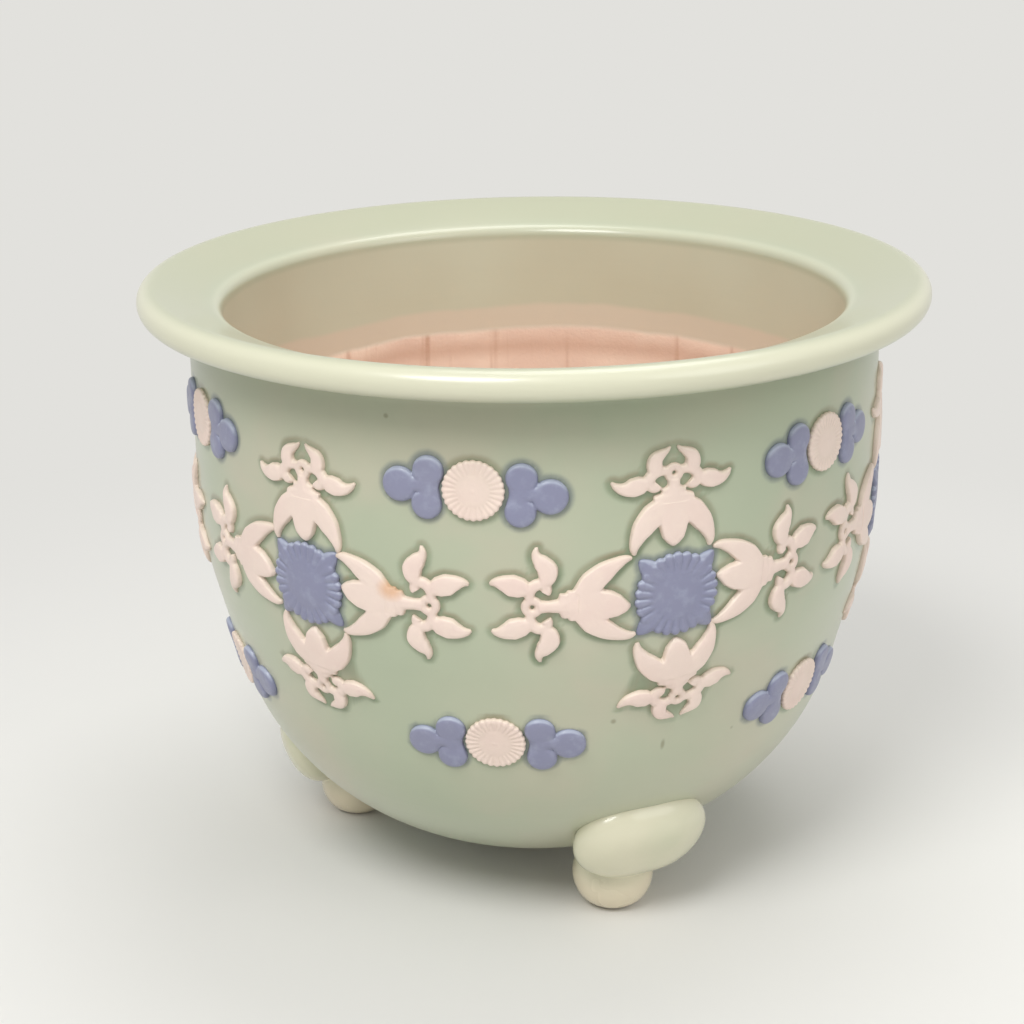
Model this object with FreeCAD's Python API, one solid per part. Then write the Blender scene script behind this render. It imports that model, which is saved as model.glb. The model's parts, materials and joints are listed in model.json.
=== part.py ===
import FreeCAD, Part
import math
import os
from FreeCAD import Placement, Rotation, Vector

# A three-footed glazed stoneware jardiniere with moulded sprigs luted to its wall.
# Millimetres, +Z up, origin on the ground at the pot's axis. The front is -Y, and
# bearings are degrees from the front, growing towards +X.

# Rim
rim_radius = 200.0
rim_height = 300.0            # centre of the rolled edge above the ground
roll_radius = 7.5             # half round of the rim's outer edge
mouth_edge_radius = 6.0       # rounding where the flange turns down into the mouth
mouth_edge_drop = 8.5         # from the rolled edge's centre down to that rounding's
throat_curve = 8.0            # cavetto under the flange

# Bowl
wall_radius = 174.3           # plumb upper wall
mouth_inset = 17.3            # from the wall's outside in to the mouth
belly_height = 205.0          # where the plumb wall starts to turn in
belly_curve = 200.0
flank_lean = 14.6             # lean of the straight flank, degrees from plumb
heel_curve = 136.0            # radius of the round heel, from the flank to the base
heel_height = 147.0           # centre of that curve above the ground
base_height = 14.0            # flat underside of the base above the ground
wall = 13.5
floor_thickness = 14.5
drain_radius = 14.0
bowl_sag = 1.9                # how far a straight facet may lie off the bowl's curves
rim_sag = 1.15                # and off the rim's
inside_sag = 5.0              # and off the inside's, which soil hides

# Feet
foot_count = 3
foot_bearing = 30.0           # the first foot, under a medallion
foot_sides = 12
knee_half_width = 35.7
knee_half_height = 24.9
knee_half_depth = 15.1
knee_reach = 122.6            # the knee's middle from the pot's axis
knee_height = 47.0
knee_tilt = 24.0              # how far the knee leans back under the bowl, degrees
knee_skew = 2.4               # how far round the pot the knee stands past its toe, degrees
toe_reach = 101.0             # the toe's middle from the pot's axis
toe_half_width = 20.5
toe_height = 17.0             # where the toe is widest
ankle_half_width = 17.5
ankle_height = 31.0
shin_top = 50.0               # hidden inside the knee
sole_half_width = 6.5

# Sprigs
bay_count = 6
bay = 360.0 / bay_count
medallion_bearing = 30.0
medallion_height = 194.0
upper_rise = 53.5             # from the medallions up to the upper cartouches
lower_drop = 74.0             # and down to the lower ones
relief = 3.0                  # how far the sprigs stand out of the wall
seat_turn = 12.0              # width of the flat facets that a piece is seated on, degrees
seat_span = 7                 # facets in the slice of wall that one piece can reach
seat_depth = 15.0             # how far a piece is pushed back before the wall trims it
floret_radius = 18.8
floret_notch = 1.2            # depth of the notches between the petals
sepal_reach = 25.0            # points on the floret's diagonals
roundel_radius = 14.2
roundel_sides = 14
spray_middle = 46.0           # from the floret's centre to where a spray is seated
sprig_unit = 1.0              # one unit of the spray and scroll outlines


def section(radius, height):
    """Point of a section, which is drawn in the XZ plane."""
    return Vector(radius, 0.0, height)


def on_circle(centre, radius, degrees):
    """Point of a circle in the section, measured up from its outward radius."""
    turn = math.radians(degrees)
    return section(centre.x + radius * math.cos(turn), centre.z + radius * math.sin(turn))


def chords(centre, radius, first, last, sag):
    """Corners of the straight facets that stand for an arc of the section."""
    widest = 2 * math.degrees(math.acos(1 - sag / radius))
    steps = math.ceil(abs(last - first) / widest)
    return [on_circle(centre, radius, first + (last - first) * step / steps) for step in range(steps + 1)]


def filled(points):
    return Part.Face(Part.makePolygon(points + [points[0]]))


def spun(points):
    return filled(points).revolve(Vector(0, 0, 0), Vector(0, 0, 1), 360)


def turned(shape, bearing):
    copy = shape.copy()
    copy.rotate(Vector(0, 0, 0), Vector(0, 0, 1), bearing)
    return copy


def belly_centre():
    return section(wall_radius - belly_curve, belly_height)


def flank_top():
    return on_circle(belly_centre(), belly_curve, -flank_lean)


def heel_centre():
    """Centre of the heel's curve, so that the straight flank touches both curves."""
    lean = math.radians(flank_lean)
    drop = (heel_height - belly_height) * math.sin(lean)
    reach = (belly_curve - heel_curve + drop) / math.cos(lean)
    return section(belly_centre().x + reach, heel_height)


def mouth_radius():
    return wall_radius - mouth_inset


def wall_points(offset):
    """The wall's section from the base up to the throat, moved out by an offset."""
    base_turn = -math.degrees(math.asin((heel_height - base_height) / heel_curve))
    points = chords(heel_centre(), heel_curve + offset, base_turn, -flank_lean, bowl_sag)
    points += chords(belly_centre(), belly_curve + offset, -flank_lean, 0.0, bowl_sag)
    return points + [section(wall_radius + offset, throat_height())]


def throat_height():
    return rim_height - roll_radius - throat_curve


def wall_reach(height):
    """The wall's distance from the axis at a height, and how far it looks down there."""
    lean = math.radians(flank_lean)
    if height >= belly_height:
        return wall_radius, 0.0
    if height <= flank_top().z:
        return flank_top().x - (flank_top().z - height) * math.tan(lean), flank_lean
    turn = math.asin((belly_height - height) / belly_curve)
    return wall_radius - belly_curve * (1 - math.cos(turn)), math.degrees(turn)


def bowl_outside():
    base = section(0.0, base_height)
    return [base] + wall_points(0.0) + [section(0.0, throat_height())]


def pot_rim():
    """The everted rim: a dished flange with a half-round edge and a cavetto under it."""
    roll = section(rim_radius - roll_radius, rim_height)
    edge = section(mouth_radius() + mouth_edge_radius, rim_height - mouth_edge_drop)
    run = roll.sub(edge)
    slope = math.degrees(math.atan2(run.z, run.x))
    slope += math.degrees(math.asin((roll_radius - mouth_edge_radius) / run.Length))
    cavetto = section(wall_radius + throat_curve, throat_height())
    points = [section(mouth_radius(), throat_height())]
    points += chords(cavetto, throat_curve, 180.0, 90.0, rim_sag)
    points += chords(roll, roll_radius, -90.0, 90.0, rim_sag)
    points += chords(edge, mouth_edge_radius, 90.0 + slope, 180.0, rim_sag)
    return spun(points)


def hollow_inside():
    """The inside: a plumb neck, the wall's own flank and heel, and a flat floor."""
    floor = base_height + floor_thickness
    heel = heel_centre()
    inner = heel_curve - wall
    floor_turn = -math.degrees(math.asin((heel_height - floor) / inner))
    narrowing = wall_radius - wall - mouth_radius()
    neck_low = flank_top().z - narrowing / math.tan(math.radians(flank_lean))
    points = [section(0.0, floor)]
    points += chords(heel, inner, floor_turn, -flank_lean, inside_sag)
    points += [section(mouth_radius(), neck_low), section(mouth_radius(), rim_height)]
    return points + [section(0.0, rim_height)]


def pot_body():
    """The bowl from its base up to the throat, hollowed out and with its drain hole."""
    drain = Part.makeCylinder(drain_radius, rim_height)
    return spun(bowl_outside()).cut(spun(hollow_inside())).cut(drain)


def facet(points):
    """One flat-faced slice at the front of a solid with this section, between two radial planes."""
    half = seat_turn / 2
    far = 2 * rim_radius
    side = far * math.tan(math.radians(half))
    front = filled(points)
    front.rotate(Vector(0, 0, 0), Vector(0, 0, 1), -90.0)
    slab = front.extrude(Vector(2 * side, 0, 0))
    slab.translate(Vector(-side, 0, 0))
    wedge = filled([Vector(0, 0, 0), Vector(-side, -far, 0), Vector(side, -far, 0)])
    return slab.common(wedge.extrude(Vector(0, 0, rim_height)))


def faceted(points):
    """Slices side by side, whose flat faces touch the round wall along their middles."""
    slice_of_wall = facet(points)
    first = -seat_turn * (seat_span - 1) / 2
    slices = [turned(slice_of_wall, first + seat_turn * index) for index in range(seat_span)]
    return slices[0].fuse(slices[1:]).removeSplitter()


def relief_band():
    """The faceted skin of the front of the wall, as thick as the sprigs stand out."""
    inner = wall_points(0.0)
    outer = wall_points(relief)
    return faceted(inner + outer[::-1])


def stacked(rings):
    """A solid through rings of corners, with a flat facet between each pair of corners."""
    faces = [filled(rings[0]), filled(rings[-1])]
    for low, high in zip(rings, rings[1:]):
        for index in range(len(low)):
            faces.append(filled([low[index - 1], low[index], high[index], high[index - 1]]))
    return Part.makeSolid(Part.makeShell(faces))


def knee():
    """A padded oval, drawn as rings across its depth and leant back under the bowl."""
    rings = []
    for depth in (-1.0, -0.86, -0.5, 0.0, 0.5, 0.86, 1.0):
        size = max(0.3, math.sqrt(1 - depth * depth))
        corners = ring(1.0, foot_sides)
        rings.append(
            [
                Vector(knee_half_width * size * p.x, -knee_half_depth * depth, knee_half_height * size * p.y)
                for p in corners
            ]
        )
    pad = stacked(rings)
    pad.rotate(Vector(0, 0, 0), Vector(1, 0, 0), knee_tilt)
    pad.translate(Vector(0, -knee_reach, knee_height))
    return turned(pad, knee_skew)


def toe():
    """A bun that carries the knee, from its flat sole up into the knee."""
    half_widths = [
        (sole_half_width, 0.0), (toe_half_width * 0.82, toe_height * 0.3), (toe_half_width, toe_height),
        (ankle_half_width, ankle_height), (ankle_half_width, shin_top),
    ]
    rings = []
    for half_width, height in half_widths:
        rings.append([Vector(p.x, p.y - toe_reach, height) for p in ring(half_width, foot_sides)])
    return stacked(rings)


def foot(bowl):
    """A moulded knee on a bun toe, luted under the heel of the pot at the front."""
    return knee().fuse(toe()).cut(bowl).removeSplitter()


def on_plane(points):
    return [Vector(x, y, 0.0).multiply(sprig_unit) for x, y in points]


def symmetric(right):
    """Closed outline from its right half, listed from one point on the axis to the other."""
    left = [(-x, y) for x, y in reversed(right) if x > 0]
    return on_plane(right + left)


def blank(points):
    """A flat sprig as it leaves its mould, deeper than needed so that the wall can trim it."""
    block = filled(points).extrude(Vector(0, 0, 2 * seat_depth))
    block.translate(Vector(0, 0, -seat_depth))
    return block


def ring(radius, sides, x=0.0, y=0.0):
    turns = [math.radians(360.0 * index / sides) for index in range(sides)]
    return [Vector(x + radius * math.sin(turn), y + radius * math.cos(turn), 0) for turn in turns]


def floret():
    """Chrysanthemum with notched petals and four pointed sepals on its diagonals."""
    notch = floret_radius - floret_notch
    quarter = [floret_radius, notch, floret_radius, sepal_reach, floret_radius, notch]
    points = []
    for index, reach in enumerate(quarter * 4):
        turn = math.radians(360.0 / len(quarter * 4) * index)
        points.append(Vector(reach * math.sin(turn), reach * math.cos(turn), 0))
    return blank(points)


def long_spray():
    """Lotus spray: a three-petalled bell, a stem, two curled side leaves and two end leaves."""
    right = [
        (0.0, 21.5), (8.3, 31.5), (14.2, 27.8), (18.5, 19.5), (19.8, 30.0), (10.3, 46.5), (9.4, 52.0),
        (2.2, 58.4), (9.5, 58.8), (16.5, 55.4), (29.8, 64.0), (20.0, 67.0), (10.5, 64.0), (16.6, 79.0),
        (11.6, 86.0), (4.2, 71.6), (0.0, 72.3),
    ]
    return blank(symmetric(right))


def short_spray():
    """The same spray drawn in, so that it fits above and below the floret."""
    right = [
        (0.0, 21.6), (7.6, 31.0), (14.2, 26.8), (18.5, 19.3), (20.8, 28.5), (12.2, 43.6), (2.2, 49.5),
        (9.0, 49.0), (17.5, 45.8), (29.6, 55.6), (12.5, 57.0), (12.0, 63.8), (1.0, 67.5), (4.2, 60.4),
        (0.0, 60.4),
    ]
    return blank(symmetric(right))


def trefoil(side):
    """Three-lobed scroll that closes on the roundel beside it."""
    upper = [
        (15.0, 0.0), (14.6, 7.0), (17.6, 13.8), (23.8, 14.2), (27.8, 8.6), (29.2, 5.0), (35.0, 7.9),
        (41.3, 4.8), (42.9, 0.0),
    ]
    lower = [(reach, -rise) for reach, rise in upper[-2:0:-1]]
    return blank(on_plane([(side * reach, rise) for reach, rise in upper + lower]))


def seated(sprig, height, band, turn=0.0, out=0.0):
    """Seat a flat sprig on the front of the wall and trim it to its relief.

    A positive turn is anticlockwise. The sprig's middle lies the distance out along its
    own axis, and that middle is what touches the wall.
    """
    block = sprig.copy()
    block.translate(Vector(0, -out, 0))
    block.rotate(Vector(0, 0, 0), Vector(0, 0, 1), turn)
    across = -out * math.sin(math.radians(turn))
    up = out * math.cos(math.radians(turn))
    reach, lean = wall_reach(height + up)
    block.rotate(Vector(0, 0, 0), Vector(1, 0, 0), 90.0 + lean)
    block.translate(Vector(0, -reach, height + up))
    return turned(block, math.degrees(across / reach)).common(band)


def save(shape, name):
    shape.exportStep("parts/%s.step" % name)


def main():
    os.makedirs("parts", exist_ok=True)
    save(pot_body(), "pot_body")
    save(pot_rim(), "pot_rim")
    leg = foot(faceted(bowl_outside()))
    for index in range(foot_count):
        save(turned(leg, foot_bearing + 360.0 / foot_count * index), "foot_%d" % (index + 1))
    band = relief_band()
    upright = short_spray()
    spreading = long_spray()
    medallion = {
        "floret": seated(floret(), medallion_height, band),
        "spray_up": seated(upright, medallion_height, band, 0.0, spray_middle),
        "spray_down": seated(upright, medallion_height, band, 180.0, spray_middle),
        "spray_left": seated(spreading, medallion_height, band, 90.0, spray_middle),
        "spray_right": seated(spreading, medallion_height, band, -90.0, spray_middle),
    }
    cartouche = {}
    rows = {"upper": medallion_height + upper_rise, "lower": medallion_height - lower_drop}
    for row, height in rows.items():
        cartouche[row + "_roundel"] = seated(blank(ring(roundel_radius, roundel_sides)), height, band)
        pair = []
        for side in (-1, 1):
            pair.append(seated(trefoil(side), height, band))
        cartouche[row + "_scrolls"] = Part.makeCompound(pair)
    for index in range(bay_count):
        number = index + 1
        middle = medallion_bearing + bay * index
        for name, shape in medallion.items():
            save(turned(shape, middle), "medallion_%d_%s" % (number, name))
        for name, shape in cartouche.items():
            save(turned(shape, middle - bay / 2), "%s_%d" % (name, number))


main()
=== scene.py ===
"""Looks of a three-footed celadon jardiniere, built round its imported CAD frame.

Lengths are metres in the frame's own axes: +Z up, -Y the front. Sprig drawings are in
millimetres, x across and y outward, and are wrapped on the wall at the end.
"""

import json
import math
import random

import bpy
import numpy as np
from bpy.props import FloatProperty, FloatVectorProperty, IntProperty, PointerProperty
from mathutils import Matrix, Vector
from mathutils.kdtree import KDTree

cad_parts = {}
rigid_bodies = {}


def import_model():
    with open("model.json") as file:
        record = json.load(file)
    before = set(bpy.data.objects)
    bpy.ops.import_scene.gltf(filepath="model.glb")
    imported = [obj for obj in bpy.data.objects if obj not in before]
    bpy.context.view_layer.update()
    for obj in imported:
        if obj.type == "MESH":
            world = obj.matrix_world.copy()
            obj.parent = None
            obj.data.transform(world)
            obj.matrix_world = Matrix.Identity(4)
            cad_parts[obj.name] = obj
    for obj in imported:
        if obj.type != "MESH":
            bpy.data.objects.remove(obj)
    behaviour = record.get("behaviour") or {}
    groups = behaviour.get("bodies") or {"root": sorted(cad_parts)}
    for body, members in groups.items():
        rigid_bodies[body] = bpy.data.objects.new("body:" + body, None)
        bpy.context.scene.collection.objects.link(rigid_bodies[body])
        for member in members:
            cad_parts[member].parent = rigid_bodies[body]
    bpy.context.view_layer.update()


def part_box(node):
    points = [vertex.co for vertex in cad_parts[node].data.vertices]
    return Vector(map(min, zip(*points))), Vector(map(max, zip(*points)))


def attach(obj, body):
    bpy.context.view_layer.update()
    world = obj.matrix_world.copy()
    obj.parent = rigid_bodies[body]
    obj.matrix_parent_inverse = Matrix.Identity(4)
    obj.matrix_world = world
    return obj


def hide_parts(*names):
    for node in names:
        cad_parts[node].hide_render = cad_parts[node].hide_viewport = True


bl_info = {
    "name": "Three-Footed Jardiniere",
    "version": (1, 0, 0),
    "blender": (4, 5, 0),
    "location": "View3D > Sidebar > Jardiniere",
    "description": "Dresses a CAD jardiniere in its glaze, sprigs and feet",
    "category": "Object",
}

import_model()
MM = 0.001
RIM_LOW, RIM_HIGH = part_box("pot_rim")
BOWL_LOW, BOWL_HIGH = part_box("pot_body")


def length(name, description, default):
    return FloatProperty(
        name=name, description=description, default=default, unit="LENGTH", precision=4
    )


def angle(name, description, default):
    return FloatProperty(
        name=name, description=description, default=math.radians(default), unit="ROTATION"
    )


def vector(name, description, default, subtype):
    return FloatVectorProperty(name=name, description=description, default=default, subtype=subtype)


def linear(red, green, blue):
    """Linear colour of an 8-bit sRGB one."""
    channels = []
    for value in (red, green, blue):
        value /= 255
        channels.append(value / 12.92 if value <= 0.04045 else ((value + 0.055) / 1.055) ** 2.4)
    return tuple(channels)


def colour(name, description, *tone):
    return FloatVectorProperty(
        name=name, description=description, default=linear(*tone), subtype="COLOR", min=0, max=1
    )


# ---- sizes


class VesselSizes(bpy.types.PropertyGroup):
    rim_radius: length("Rim radius", "Outside of the rolled edge", RIM_HIGH.x)
    rim_height: length("Rim height", "Middle of the rolled edge", RIM_HIGH.z - 0.0075)
    roll_radius: length("Roll radius", "Half round of the rim's outer edge", 0.0075)
    mouth_radius: length("Mouth radius", "Inside of the neck", 0.157)
    mouth_edge_radius: length("Mouth rounding", "Where the flange turns down into the mouth", 0.006)
    mouth_edge_drop: length("Mouth drop", "From the rolled edge down to the mouth's rounding", 0.0085)
    throat_curve: length("Throat curve", "Cavetto under the flange", 0.008)
    wall_radius: length("Wall radius", "Plumb upper wall", 0.1743)
    belly_height: length("Belly height", "Where the plumb wall starts to turn in", 0.205)
    belly_curve: length("Belly curve", "Radius of the belly's curve", 0.200)
    flank_lean: angle("Flank lean", "Lean of the straight flank from plumb", 14.6)
    heel_curve: length("Heel curve", "Radius of the turn from the flank to the base", 0.136)
    heel_height: length("Heel height", "Middle of the heel's curve above the ground", 0.147)
    base_height: length("Base height", "Underside of the base above the ground", BOWL_LOW.z)
    wall: length("Wall", "Thickness of the wall", 0.0135)
    floor_thickness: length("Floor thickness", "Thickness of the base", 0.0145)
    drain_radius: length("Drain radius", "Hole in the middle of the base", 0.014)
    turns: IntProperty(name="Turns", description="Steps round the lathe-turned forms", default=540)


class FootSizes(bpy.types.PropertyGroup):
    count: IntProperty(name="Feet", description="Feet round the base", default=3)
    bearing: angle("Bearing", "The first foot, from the front towards +X", 30)
    knee_half_width: length("Knee half width", "Across the knee", 0.0357)
    knee_half_height: length("Knee half height", "Up the knee", 0.0249)
    knee_half_depth: length("Knee half depth", "Through the knee", 0.0151)
    knee_reach: length("Knee reach", "The knee's middle from the pot's axis", 0.1226)
    knee_height: length("Knee height", "The knee's middle above the ground", 0.047)
    knee_tilt: angle("Knee tilt", "Lean of the knee back under the bowl", 24)
    knee_skew: angle("Knee skew", "How far round the pot the knee stands past its toe", 2.4)
    toe_reach: length("Toe reach", "The toe's middle from the pot's axis", 0.101)
    toe_half_width: length("Toe half width", "Across the toe", 0.0205)
    toe_height: length("Toe height", "Where the toe is widest", 0.017)
    ankle_half_width: length("Ankle half width", "Across the ankle", 0.0175)
    ankle_height: length("Ankle height", "The ankle above the ground", 0.031)


class SprigSizes(bpy.types.PropertyGroup):
    bays: IntProperty(name="Bays", description="Medallions round the pot", default=6)
    medallion_height: length("Medallion height", "Middle of the florets", 0.194)
    upper_rise: length("Upper rise", "From the florets up to the upper cartouches", 0.0535)
    lower_drop: length("Lower drop", "From the florets down to the lower cartouches", 0.074)
    spray_middle: length("Spray middle", "From a floret to where a spray is seated", 0.046)
    relief: length("Relief", "How far the sprigs stand out of the wall", 0.003)
    sunk: length("Sunk", "How deep the sprigs are pressed in the wall", 0.0008)


class Colours(bpy.types.PropertyGroup):
    celadon: colour("Celadon", "Glaze on the wall", 186, 189, 165)
    celadon_green: colour("Celadon, green", "Glaze where it is cooler", 174, 184, 158)
    celadon_warm: colour("Celadon, warm", "Glaze where it is thin and warm", 193, 186, 165)
    # Pooled glaze under the rim, darkened further by a painted shadow of the rim
    celadon_pooled_and_shaded: colour("Celadon, pooled", "Thick glaze under the rim", 132, 142, 112)
    rim_pale: colour("Rim", "Glaze on the flange", 180, 182, 155)
    # Thin glaze on the rolled edges, with a painted highlight on the roll and the mouth's edge
    cream_edge_and_highlight: colour("Cream edge", "Thin glaze on the rolled edges", 222, 220, 196)
    # Pooled glaze below the white sprigs, darkened further as painted shade
    pool_green_and_shade: colour("Pool, green", "Glaze pooled below the white sprigs", 118, 134, 104)
    pool_brown: colour("Pool, brown", "Glaze pooled above the white sprigs", 134, 122, 94)
    pool_blue: colour("Pool, blue", "Glaze pooled round the blue sprigs", 112, 122, 122)
    blue: colour("Blue", "Blue clay sprigs", 136, 138, 164)
    blue_grey: colour("Blue, greyer", "Blue clay where the glaze is thicker", 141, 142, 163)
    # Painted shade in the hollows and seams of the blue sprigs
    blue_seam_shade: colour("Blue edge", "Seams of the blue sprigs", 112, 118, 142)
    # Pale glaze flecks, and a painted highlight on the upward-facing edges of the blue sprigs
    blue_pale_and_highlight: colour("Pale blue", "Glaze on the upper edges of the blue sprigs", 186, 194, 212)
    white: colour("White", "White clay sprigs", 236, 216, 204)
    white_pink: colour("White, pink", "White clay where it is pinker", 232, 206, 196)
    # Painted shade in the hollows and seams of the white sprigs
    white_seam_shade: colour("White edge", "Seams of the white sprigs", 190, 176, 154)
    # Pale flecks, and a painted highlight on the upward-facing edges of the white sprigs
    white_pale_and_highlight: colour("White, pale", "Upper edges of the white sprigs", 248, 232, 214)
    cream: colour("Cream", "Glaze on the feet", 220, 216, 190)
    cream_green: colour("Cream, green", "Glaze on the feet where it is cooler", 206, 208, 180)
    # Painted shade in the crease between a knee and its toe
    crease: colour("Crease", "Glaze between a knee and its toe", 134, 132, 106)
    clay: colour("Clay", "Bare clay inside", 228, 199, 180)
    clay_light: colour("Clay, light", "Bare clay where it is paler", 242, 218, 198)
    clay_dark: colour("Clay, dark", "Streaks on the bare clay", 186, 142, 116)
    clay_pale: colour("Pale clay", "Where the inside glaze ends", 209, 195, 174)
    glaze_inside: colour("Inside glaze", "Glazed band inside the mouth", 192, 187, 162)
    glaze_inside_green: colour("Inside glaze, green", "Cooler glaze inside the mouth", 201, 201, 178)
    speck: colour("Speck", "Iron specks in the glaze", 112, 112, 84)
    mark: colour("Mark", "Small marks on the wall", 118, 112, 84)
    iron: colour("Iron stain", "Stain on a white sprig", 222, 176, 138)
    # Paler glaze on the toes, lightened further as painted light against the shade under them
    toe_cream_and_painted_light: colour("Toe", "Thin glaze on the toes", 234, 218, 192)


class StageSettings(bpy.types.PropertyGroup):
    eye: vector("Eye", "The camera's place", (0.15981, -1.08222, 0.55423), "TRANSLATION")
    ahead: vector("Ahead", "The camera's direction", (-0.14873, 0.93373, -0.32562), "DIRECTION")
    above: vector("Above", "The camera's upward direction", (-0.03699, 0.32379, 0.94540), "DIRECTION")
    lens: FloatProperty(name="Lens", description="Focal length on a 36 mm sensor", default=77.44)
    backdrop: colour("Backdrop", "Floor and background", 226, 225, 221)


# Where a tilted spray turns, in millimetres out from its floret's middle
SPRAY_TIP = 27.0
# How square the knee is: 2 is an ellipsoid
KNEE_FULLNESS = 2.3
# Name, place, width and power of each lamp
LAMPS = (
    ("key", (-0.4, -1.35, 1.9), 1.0, 26.0),
    ("fill", (1.7, -1.0, 1.3), 1.4, 8.0),
    ("top", (0.2, 0.6, 2.2), 1.4, 15.0),
)
AMBIENT = 0.54
# The spray with an iron stain
STAINED = "medallion_6_spray_right"
# Stains in sight: bearing in degrees, height, half width and half height in metres
SPECKS = (
    (-23.0, 0.246, 0.0016, 0.0016),
    (30.5, 0.1105, 0.0016, 0.0042),
    (21.0, 0.128, 0.0020, 0.0020),
    (58.0, 0.288, 0.0012, 0.0012),
)
# Sprigs in sight that were laid off their marks: across, up and tilt, in their own drawing
LAID = {
    "medallion_1_floret": (-0.6, -0.6, 0),
    "medallion_1_spray_up": (-3.0, 0.2, 0),
    "medallion_1_spray_down": (-0.6, -0.6, 8),
    "medallion_1_spray_left": (-0.6, 0, 1.6),
    "medallion_1_spray_right": (-2.0, -3.4, 0),
    "medallion_2_spray_left": (4, 4, 0),
    "medallion_6_floret": (2.6, -2.8, 0),
    "medallion_6_spray_up": (3.5, -4.2, 0),
    "medallion_6_spray_down": (-3.0, 1.6, -5.5),
    "medallion_6_spray_left": (0.4, -4.2, -3),
    "medallion_6_spray_right": (3.0, 0, 0),
    "upper_roundel_1": (-2.0, -0.4, 0),
    "upper_scrolls_1": (-1.8, -0.9, -3),
    "lower_roundel_1": (3.4, -1.6, 0),
    "lower_scrolls_1": (3.5, -2.6, 1),
    "upper_roundel_2": (-2.8, 1.4, 0),
    "upper_scrolls_2": (-2.8, 0.4, 0),
    "lower_roundel_2": (6, -1, 0),
    "lower_scrolls_2": (6, -1, 0),
    "upper_roundel_6": (4, 4, 0),
    "upper_scrolls_6": (4, 4, 0),
    "lower_roundel_6": (-4, 0, 0),
    "lower_scrolls_6": (-4, 0, 0),
}


# ---- helpers


def deselect():
    if bpy.context.mode != "OBJECT":
        bpy.ops.object.mode_set(mode="OBJECT")
    bpy.ops.object.select_all(action="DESELECT")


def activate(piece):
    deselect()
    piece.select_set(True)
    bpy.context.view_layer.objects.active = piece
    return piece


def apply_modifier(piece, kind, **settings):
    activate(piece)
    modifier = piece.modifiers.new(kind.title(), kind)
    for name, value in settings.items():
        setattr(modifier, name, value)
    bpy.ops.object.modifier_apply(modifier=modifier.name)


def joined(pieces, name):
    activate(pieces[0])
    for piece in pieces[1:]:
        piece.select_set(True)
    bpy.ops.object.join()
    piece = bpy.context.active_object
    bpy.ops.object.transform_apply(location=True, rotation=True, scale=True)
    piece.name = name
    return piece


def coordinates(piece):
    places = np.empty(len(piece.data.vertices) * 3)
    piece.data.vertices.foreach_get("co", places)
    return places.reshape(-1, 3)


def move_vertices(piece, places):
    piece.data.vertices.foreach_set("co", np.ascontiguousarray(places, dtype=np.float64).ravel())
    piece.data.update()


def point_values(piece, name, values):
    """Give each vertex a number that a material can read."""
    layer = piece.data.attributes.new(name, "FLOAT", "POINT")
    layer.data.foreach_set("value", values)


def twin(piece):
    """A copy with its own mesh."""
    copy = piece.copy()
    copy.data = piece.data.copy()
    bpy.context.scene.collection.objects.link(copy)
    return copy


def smooth(piece, degrees=60):
    activate(piece)
    bpy.ops.object.shade_smooth_by_angle(angle=math.radians(degrees))


def dress(piece, nodes, material):
    """Put a finished piece in place of its CAD nodes."""
    piece.data.materials.clear()
    piece.data.materials.append(material)
    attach(piece, "root")
    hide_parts(*nodes)


def lathe(name, profile, turns):
    """Turn a closed section of (radius, height) round the Z axis."""
    deselect()
    bpy.ops.mesh.primitive_circle_add(vertices=len(profile), fill_type="NOTHING")
    piece = bpy.context.active_object
    piece.name = name
    move_vertices(piece, np.array([(radius, 0.0, height) for radius, height in profile]))
    bpy.ops.object.mode_set(mode="EDIT")
    bpy.ops.mesh.select_all(action="SELECT")
    bpy.ops.mesh.spin(steps=turns, angle=2 * math.pi, center=(0, 0, 0), axis=(0, 0, 1))
    bpy.ops.mesh.select_all(action="SELECT")
    bpy.ops.mesh.remove_doubles(threshold=1e-6)
    bpy.ops.mesh.normals_make_consistent(inside=False)
    bpy.ops.object.mode_set(mode="OBJECT")
    return piece


def arc(centre, radius, first, last, steps):
    """Points of an arc of the section, measured up from its outward radius in degrees."""
    points = []
    for step in range(steps + 1):
        turn = math.radians(first + (last - first) * step / steps)
        points.append((centre[0] + radius * math.cos(turn), centre[1] + radius * math.sin(turn)))
    return points


# ---- wall


def flank_ends(sizes):
    """Centres of the belly's and the heel's curves, so that the flank touches both."""
    belly = (sizes.wall_radius - sizes.belly_curve, sizes.belly_height)
    height = sizes.heel_height
    drop = (height - sizes.belly_height) * math.sin(sizes.flank_lean)
    reach = (sizes.belly_curve - sizes.heel_curve + drop) / math.cos(sizes.flank_lean)
    return belly, (belly[0] + reach, height)


def wall_profile(sizes):
    belly, heel = flank_ends(sizes)
    lean = math.degrees(sizes.flank_lean)
    base_turn = -math.degrees(math.asin((sizes.heel_height - sizes.base_height) / sizes.heel_curve))
    points = arc(heel, sizes.heel_curve, base_turn, -lean, 66)
    flank_low, flank_high = points[-1], arc(belly, sizes.belly_curve, -lean, 0, 1)[0]
    for share in (0.25, 0.5, 0.75):
        points.append(tuple(low + (high - low) * share for low, high in zip(flank_low, flank_high)))
    points += arc(belly, sizes.belly_curve, -lean, 0, 24)
    plumb = sizes.rim_height - sizes.roll_radius - sizes.throat_curve
    for step in range(1, 34):
        height = sizes.belly_height + (plumb - sizes.belly_height) * step / 34
        points.append((sizes.wall_radius, height))
    return points


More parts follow.
